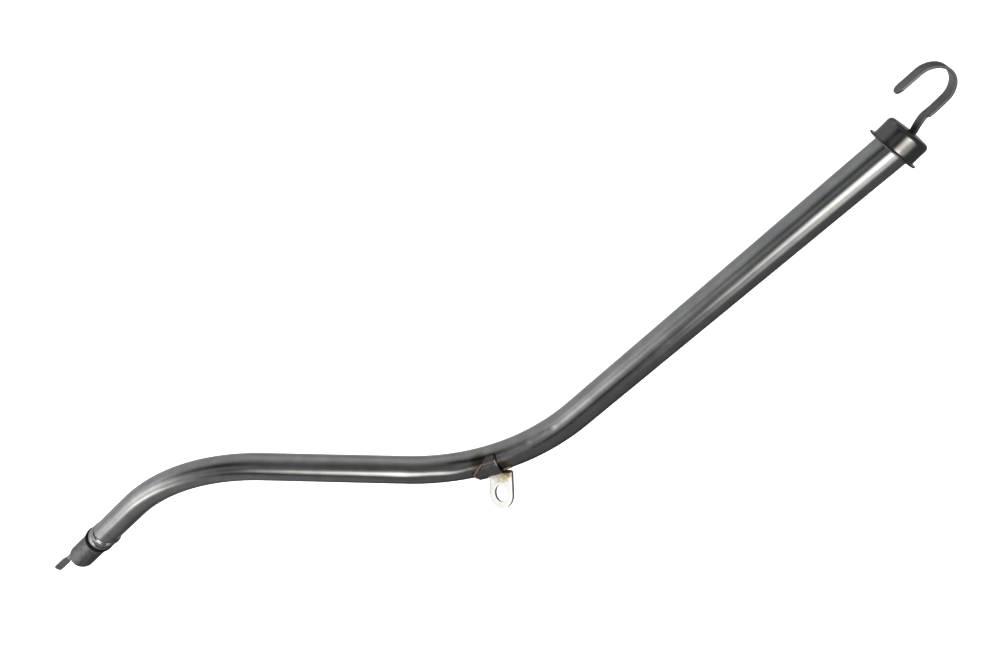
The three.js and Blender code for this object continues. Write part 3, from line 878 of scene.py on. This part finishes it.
def steel(
    name, dark, light, rough, has_local=True, grain=(1, 1, 0.04), tints=(), brushed=(), satin_below=None
):
    """Steel with drawn grain, blotches, fine scratches and rubbed spots; tints are heat marks, painted
    shade and painted light.

    Brushed patches are (place, radius, added roughness). The stretch below satin_below, in
    millimetres along the tube, is turned to a duller finish.
    """
    material, tree, bsdf = shader(name)
    bsdf.inputs["Metallic"].default_value = 1.0
    blotch = pattern(tree, has_local, (1, 1, 1), 0.09, detail=5)
    drawn = pattern(tree, has_local, grain, 2.2, detail=3)
    fine = pattern(tree, has_local, grain, 9.0, detail=2)
    speck = pattern(tree, has_local, (1, 1, 1), 1.6, detail=6, roughness=0.7)
    scuff = pattern(tree, has_local, (1, 1, 0.35), 0.55, detail=7, roughness=0.72)
    colour = ramp(tree, blotch, [(0.3, dark), (0.7, light)])
    lines = ramp(tree, drawn, [(0.35, grey(0.6)), (0.6, grey(1.0))])
    colour = mix_colour(tree, 0.25, colour, lines, "MULTIPLY")
    spots = ramp(tree, speck, [(0.3, grey(0.75)), (0.42, grey(1.0))])
    colour = mix_colour(tree, 0.4, colour, spots, "MULTIPLY")
    # Each tint multiplies the colour near a place: heat marks, and also painted shade and painted light
    for place, radius, stops in tints:
        share = near(tree, place, radius, wobble=0.5)
        colour = mix_colour(tree, 1.0, colour, ramp(tree, share, stops), "MULTIPLY")
    smudge = maths(tree, "MULTIPLY", maths(tree, "SUBTRACT", blotch, 0.5), 0.12)
    streak = maths(tree, "MULTIPLY", maths(tree, "SUBTRACT", fine, 0.5), 0.10)
    rubbed = ramp(tree, scuff, [(0.56, grey(0.0)), (0.72, grey(0.16))])
    roughness = maths(tree, "ADD", smudge, rough)
    roughness = maths(tree, "ADD", roughness, maths(tree, "ADD", streak, rubbed))
    for place, radius, added in brushed:
        share = near(tree, place, radius, wobble=0.4)
        duller = ramp(tree, share, [(0.0, grey(0.0)), (0.8, grey(added))])
        roughness = maths(tree, "ADD", roughness, duller)
    if satin_below is not None:
        here = node(tree, "ShaderNodeAttribute", attribute_name="local").outputs["Vector"]
        split = node(tree, "ShaderNodeSeparateXYZ")
        tree.links.new(here, split.inputs[0])
        dull = node(tree, "ShaderNodeMapRange")
        for socket, value in enumerate((satin_below + 0.4, satin_below - 0.4, 0.0, 1.0), 1):
            dull.inputs[socket].default_value = value
        tree.links.new(split.outputs["Z"], dull.inputs["Value"])
        satin_added = maths(tree, "MULTIPLY", dull.outputs["Result"], SATIN_ROUGH)
        roughness = maths(tree, "ADD", roughness, satin_added)
        worked = node(tree, "ShaderNodeMapRange")
        for socket, value in enumerate((BEAD_END_BELOW + 2, BEAD_END_BELOW - 3, 0.0, BEAD_ROUGH), 1):
            worked.inputs[socket].default_value = value
        tree.links.new(split.outputs["Z"], worked.inputs["Value"])
        roughness = maths(tree, "ADD", roughness, worked.outputs["Result"])
        mottle = ramp(tree, scuff, [(0.38, grey(0.70)), (0.62, grey(1.25))])
        satin = mix_colour(tree, 1.0, SATIN_TINT, mottle, "MULTIPLY")
        shade = mix_colour(tree, dull.outputs["Result"], grey(1.0), satin)
        colour = mix_colour(tree, 1.0, colour, shade, "MULTIPLY")
    tree.links.new(colour, bsdf.inputs["Base Color"])
    tree.links.new(maths(tree, "MAXIMUM", roughness, 0.04), bsdf.inputs["Roughness"])
    add_bumps(tree, bsdf, [(drawn, 0.006, 0.2), (speck, 0.006, 0.15)])
    return material


WELD_COLOURS = [(0.25, (0.16, 0.11, 0.09)), (0.5, (0.42, 0.33, 0.29)), (0.75, (0.30, 0.29, 0.34))]


def weld_metal(name):
    material, tree, bsdf = shader(name)
    bsdf.inputs["Metallic"].default_value = 1.0
    blotch = pattern(tree, True, (1, 1, 1), 0.5)
    grit = pattern(tree, True, (1, 1, 1), 3.0, detail=6)
    colour = ramp(tree, blotch, WELD_COLOURS)
    pits = ramp(tree, grit, [(0.35, grey(0.4)), (0.55, grey(1.0))])
    colour = mix_colour(tree, 0.5, colour, pits, "MULTIPLY")
    tree.links.new(colour, bsdf.inputs["Base Color"])
    tree.links.new(ramp(tree, grit, [(0.3, grey(0.6)), (0.7, grey(0.38))]), bsdf.inputs["Roughness"])
    add_bumps(tree, bsdf, [(grit, 0.08, 0.5)])
    return material


def rubber(name, has_local=True):
    material, tree, bsdf = shader(name)
    bloom = pattern(tree, has_local, (1, 1, 1), 0.4, detail=5)
    grit = pattern(tree, has_local, (1, 1, 1), 5.0, detail=4)
    colour = ramp(tree, bloom, [(0.3, grey(0.002)), (0.75, grey(0.005))])
    tree.links.new(colour, bsdf.inputs["Base Color"])
    roughness = ramp(tree, grit, [(0.3, grey(0.38)), (0.7, grey(0.55))])
    tree.links.new(roughness, bsdf.inputs["Roughness"])
    bsdf.inputs["Specular IOR Level"].default_value = 0.2
    add_bumps(tree, bsdf, [(grit, 0.02, 0.3)])
    return material


SADDLE_LEFT = round_tube(math.radians(50), TUBE_RADIUS, SADDLE_LOW_END + 5)
SADDLE_CORNER = round_tube(math.radians(100), TUBE_RADIUS, SADDLE_LOW_END - 1)
SADDLE_RIGHT = round_tube(math.radians(95), TUBE_RADIUS, SADDLE_HIGH_END + 2)
TAB_ROOT = TAB_MIDDLE + ACROSS * 5 - OUT * 15
SATIN_ROUGH = 0.22
BEAD_ROUGH = 0.11
SATIN_TINT = (0.56, 0.565, 0.58)
BEAD_PINK = [(0.0, grey(1.0)), (0.35, (1.0, 0.92, 0.90)), (1.0, (0.98, 0.86, 0.84))]
HEAT_ON_TUBE = [
    (0.0, grey(1.0)), (0.25, (0.85, 0.78, 0.66)), (0.45, (0.55, 0.44, 0.34)),
    (0.75, (0.34, 0.29, 0.26)), (1.0, (0.28, 0.25, 0.25)),
]
# A brown heat tint at the border, then painted shade that darkens the middle of the saddle to about
# half
HEAT_TINT_AND_PAINTED_SHADE_ON_SADDLE = [
    (0.0, grey(1.0)), (0.15, (0.62, 0.55, 0.45)), (0.35, (0.54, 0.52, 0.50)), (1.0, (0.55, 0.55, 0.57)),
]
# Painted light: makes the handle lighter towards the hook's tip
PAINTED_LIGHT_AT_TIP = [(0.0, grey(1.0)), (1.0, grey(1.45))]
# Painted shade: darkens the handle where it goes into the cap's slot
PAINTED_SHADE_AT_SLOT = [(0.0, grey(1.0)), (0.4, grey(0.6)), (0.75, grey(0.28)), (1.0, grey(0.2))]
# A brown heat tint at the border, then painted shade that darkens the bracket's cut edges near the
# saddle, standing for the shadow in the gap beside the tube
HEAT_TINT_AND_PAINTED_SHADE_ON_EDGE = [
    (0.0, grey(1.0)), (0.15, (0.42, 0.36, 0.30)), (0.35, (0.22, 0.20, 0.19)), (1.0, grey(0.20)),
]
HEAT_ON_TAB = [
    (0.0, grey(1.0)), (0.25, (0.95, 0.88, 0.74)), (0.5, (0.74, 0.62, 0.46)),
    (0.75, (0.40, 0.36, 0.33)), (1.0, (0.26, 0.25, 0.26)),
]

tube_steel = steel(
    "tube_steel", (0.44, 0.445, 0.45), (0.57, 0.57, 0.57), 0.09,
    tints=[
        (SADDLE_LEFT, 8, HEAT_ON_TUBE), (SADDLE_CORNER, 4, HEAT_ON_TUBE),
        (SADDLE_RIGHT, 7, HEAT_ON_TUBE),
        (centreline(36.5)[0], 13, BEAD_PINK),
    ],
    brushed=[
        (round_tube(math.radians(26), TUBE_RADIUS, SADDLE_HIGH_END + along), 12, 0.13)
        for along in (8, 19, 30)
    ],
    satin_below=GROOVE[0],
)
bracket_steel = steel(
    "bracket_steel", (0.80, 0.795, 0.78), (0.95, 0.95, 0.94), 0.10, has_local=False, grain=(1, 0.3, 1),
    # The saddle's tint is heat tint at its border and painted shade over its middle
    tints=[(TAB_ROOT, 7, HEAT_ON_TAB), (saddle_point(0.5, 0.5), 16, HEAT_TINT_AND_PAINTED_SHADE_ON_SADDLE)],
)
bracket_edge = steel(
    "bracket_edge", (0.66, 0.655, 0.64), (0.84, 0.835, 0.82), 0.5, has_local=False, grain=(1, 0.3, 1),
    # The edge's tint is heat tint at its border and painted shade near the saddle
    tints=[(TAB_ROOT, 7, HEAT_ON_TAB), (saddle_point(0.5, 0.5), 16, HEAT_TINT_AND_PAINTED_SHADE_ON_EDGE)],
)
weld = weld_metal("weld_metal")
cap_steel = steel("cap_steel", (0.205, 0.20, 0.20), (0.285, 0.28, 0.28), 0.075, grain=(1, 1, 1))
# A painted pool of light on the handle, lighter towards the hook's tip
hook_tip_painted_light = (in_head(0, HOOK_TIP[1], HOOK_TIP[0]), 18, PAINTED_LIGHT_AT_TIP)
# The handle's tints: painted light at the hook's tip and painted shade where the neck goes into the cap
handle_painted_light_and_shade = [hook_tip_painted_light, (in_head(0, HANDLE_SIDE, CAP_HEIGHT + 1), 8, PAINTED_SHADE_AT_SLOT)]
ROLLED = (1, 1, 0.06)
handle_face = steel(
    "handle_face", (0.20, 0.20, 0.195), (0.31, 0.31, 0.30), 0.40, grain=ROLLED, tints=handle_painted_light_and_shade
)
handle_edge = steel(
    "handle_edge", (0.17, 0.17, 0.165), (0.27, 0.27, 0.26), 0.36, grain=ROLLED, tints=handle_painted_light_and_shade
)
strip_face = steel("strip_face", (0.28, 0.27, 0.275), (0.44, 0.43, 0.435), 0.36, grain=ROLLED)
strip_edge = steel("strip_edge", (0.30, 0.29, 0.30), (0.45, 0.44, 0.45), 0.32, grain=ROLLED)
strip_cad = steel("strip_inside", (0.22, 0.21, 0.215), (0.36, 0.35, 0.355), 0.36, has_local=False)
rivet_steel = steel("rivet_steel", (0.36, 0.36, 0.36), (0.5, 0.5, 0.5), 0.3, grain=(1, 1, 1))
washer_steel = steel("washer_steel", (0.36, 0.36, 0.36), (0.5, 0.5, 0.5), 0.3, has_local=False)
ring_rubber = rubber("ring_rubber")


# ---- Pieces on their bodies ----

TUBE_NODES = (
    "tube_lower_straight", "tube_lower_bend", "tube_middle_straight", "tube_upper_bend",
    "tube_upper_straight",
)
finish_piece(tube_skin(), [tube_steel], "tube", "tube_steel", *TUBE_NODES)
finish_piece(sealing_ring(), [ring_rubber], "tube", "rubber", "sealing_ring")
finish_piece(bracket(), [bracket_steel, bracket_edge], "tube", "bracket_steel", "mounting_bracket")
finish_piece(
    weld_bead("weld_saddle", saddle_weld_place, SADDLE_WELD_SIZE, SADDLE_WELD_POOLS), [weld],
    "tube", "weld_metal", "saddle_weld",
)
finish_piece(
    weld_bead("weld_tab", tab_weld_place, TAB_WELD_SIZE, TAB_WELD_POOLS), [weld],
    "tube", "weld_metal", "tab_weld",
)
finish_piece(blade_tip(), [strip_face, strip_edge], "tip_strip", "strip_steel", "blade_tip")
finish_piece(hook_handle(), [handle_face, handle_edge], "head", "handle_steel", "hook_handle")
finish_piece(cap(), [cap_steel], "head", "cap_steel", "cap_shell")
finish_piece(cap_seal(), [ring_rubber], "head", "rubber", "cap_seal")
for number, z in enumerate(RIVETS_AT, 1):
    finish_piece(
        rivet(f"rivet_{number}", z), [rivet_steel], "head", "rivet_steel", f"lap_rivet_{number}"
    )

for name in ("blade_upper", "blade_upper_bend", "blade_middle", "blade_lower_bend", "blade_top"):
    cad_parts[name].data.materials.clear()
    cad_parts[name].data.materials.append(strip_cad)
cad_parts["cap_washer"].data.materials.clear()
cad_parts["cap_washer"].data.materials.append(washer_steel)


# ---- Floor, light and camera ----

FLOOR_DROP = 90.0
# In metres, so that the floor fills the view
FLOOR_SIZE = 24.0


def floor():
    low = cad_box[0].z - FLOOR_DROP * MM
    half = FLOOR_SIZE / 2
    signs = ((-1, -1), (1, -1), (1, 1), (-1, 1))
    corners = [Vector((x * half, y * half, low)) / MM for x, y in signs]
    thing = build("floor", corners, [(0, 1, 2, 3)])
    material, tree, bsdf = shader("floor_paper")
    tone = pattern(tree, False, (1, 1, 1), 0.02, detail=3)
    tree.links.new(ramp(tree, tone, [(0.3, grey(0.90)), (0.7, grey(0.93))]), bsdf.inputs["Base Color"])
    bsdf.inputs["Roughness"].default_value = 0.9
    bsdf.inputs["Specular IOR Level"].default_value = 0.1
    bsdf.inputs["Emission Color"].default_value = (1, 1, 1, 1)
    bsdf.inputs["Emission Strength"].default_value = 0.75
    thing.data.materials.append(material)
    thing.visible_glossy = False
    return thing


def toward(azimuth, elevation):
    """A direction: azimuth 0 is +Y, 90 is +X; both in degrees."""
    a, e = math.radians(azimuth), math.radians(elevation)
    return Vector((math.sin(a) * math.cos(e), math.cos(a) * math.cos(e), math.sin(e)))


# The light round the object, as broad soft patches: azimuth, elevation, sharpness, brightness, colour.
# The rows called fitted, and the ambient light, come from a scratch fit to the photo's brightness round
# the tube. They keep its directions and sharpness, and its brightness within five percent unless the
# comment gives another. The other rows, and all the colours, were chosen one by one.
COOL = (0.975, 0.99, 1.01)
PLAIN = (1.0, 1.0, 1.0)
WARM = (1.0, 0.972, 0.92)
STUDIO = [
    # Bright patches, fitted; the first was 3.0 in the fit
    (-180, 9, 50, 2.7, WARM), (172, 9, 20, 2.4, WARM), (164, -19, 50, 0.7, WARM),
    # Bright patches, added one by one
    (-166, 10, 150, 0.6, WARM), (-170, -4, 100, 0.70, WARM),
    (-163, 3, 150, 0.20, WARM),
    # Bright patches to the left, fitted
    (-132, -19, 120, 1.6, WARM), (-116, 2, 50, 0.70, WARM), (-116, -12, 20, 0.65, WARM),
    # Broad dim patches, fitted; the first was 0.84 in the fit
    (4, -26, 8, 0.40, PLAIN), (-4, 58, 8, 0.30, COOL), (-76, -5, 1, 0.32, COOL),
    # A dim patch, added one by one
    (-94, 10, 40, 0.3, PLAIN),
    # Dark patches, which take light away, fitted
    (-116, 44, 20, -0.22, PLAIN), (-156, -12, 50, -0.16, PLAIN),
    # Dark patches, added one by one
    (-110, 24, 30, -0.12, PLAIN),
    (-147, 16, 60, -0.10, PLAIN),
    (20, -66, 6, -0.08, PLAIN), (-70, -72, 20, -0.10, PLAIN),
]
AMBIENT = 0.127


def studio_world():
    world = bpy.data.worlds.new("studio")
    bpy.context.scene.world = world
    world.use_nodes = True
    tree = world.node_tree
    where = node(tree, "ShaderNodeTexCoord").outputs["Generated"]
    total = None
    for azimuth, elevation, sharpness, brightness, colour in STUDIO:
        facing = node(tree, "ShaderNodeVectorMath", operation="DOT_PRODUCT")
        facing.inputs[1].default_value = toward(azimuth, elevation)
        tree.links.new(where, facing.inputs[0])
        patch = maths(tree, "POWER", maths(tree, "MAXIMUM", facing.outputs["Value"], 0.0), sharpness)
        tinted = node(tree, "ShaderNodeVectorMath", operation="SCALE")
        tinted.inputs[0].default_value = Vector(colour) * brightness
        tree.links.new(patch, tinted.inputs["Scale"])
        added = node(tree, "ShaderNodeVectorMath", operation="ADD")
        tree.links.new(tinted.outputs[0], added.inputs[0])
        if total is None:
            added.inputs[1].default_value = Vector((AMBIENT, AMBIENT, AMBIENT))
        else:
            tree.links.new(total, added.inputs[1])
        total = added.outputs[0]
    positive = node(tree, "ShaderNodeVectorMath", operation="MAXIMUM")
    tree.links.new(total, positive.inputs[0])
    positive.inputs[1].default_value = (0.0, 0.0, 0.0)
    tree.links.new(positive.outputs[0], tree.nodes["Background"].inputs["Color"])


def area_light(name, azimuth, elevation, distance, size, power):
    lamp = bpy.data.lights.new(name, "AREA")
    lamp.energy = power
    lamp.size = size
    thing = bpy.data.objects.new(name, lamp)
    thing.location = (cad_box[0] + cad_box[1]) / 2 + toward(azimuth, elevation) * distance
    thing.rotation_mode = "QUATERNION"
    thing.rotation_quaternion = (-toward(azimuth, elevation)).to_track_quat("-Z", "Y")
    thing.visible_glossy = False
    bpy.context.scene.collection.objects.link(thing)


# The camera's place and angle come from a scratch fit of the bent tube's outline to the photo, with the
# bend radius and a 28 mm lens chosen beforehand
CAMERA_AT = Vector((0.03729, -0.35983, 0.38328))
CAMERA_AZIMUTH = -5.28
CAMERA_DOWN = 35.02
CAMERA_ROLL = math.radians(2.52)
CAMERA_LENS = 28.0
SENSOR_WIDTH = 36.0
NEAREST = 0.01
FARTHEST = 60.0


def camera():
    lens = bpy.data.cameras.new("camera")
    lens.lens = CAMERA_LENS
    lens.sensor_width = SENSOR_WIDTH
    lens.clip_start = NEAREST
    lens.clip_end = FARTHEST
    thing = bpy.data.objects.new("camera", lens)
    forward = toward(CAMERA_AZIMUTH, -CAMERA_DOWN)
    right = forward.cross(Vector((0, 0, 1))).normalized()
    up = right.cross(forward)
    leant = right * math.cos(CAMERA_ROLL) - up * math.sin(CAMERA_ROLL)
    raised = leant.cross(forward)
    turned_to = Matrix((leant, raised, -forward)).transposed()
    thing.matrix_world = Matrix.Translation(CAMERA_AT) @ turned_to.to_4x4()
    bpy.context.scene.collection.objects.link(thing)
    bpy.context.scene.camera = thing


floor()
studio_world()
area_light("overhead", azimuth=20, elevation=75, distance=2.2, size=2.4, power=60)
area_light("left", azimuth=-70, elevation=40, distance=2.0, size=1.6, power=25)
camera()
bpy.context.scene.view_settings.view_transform = "Standard"
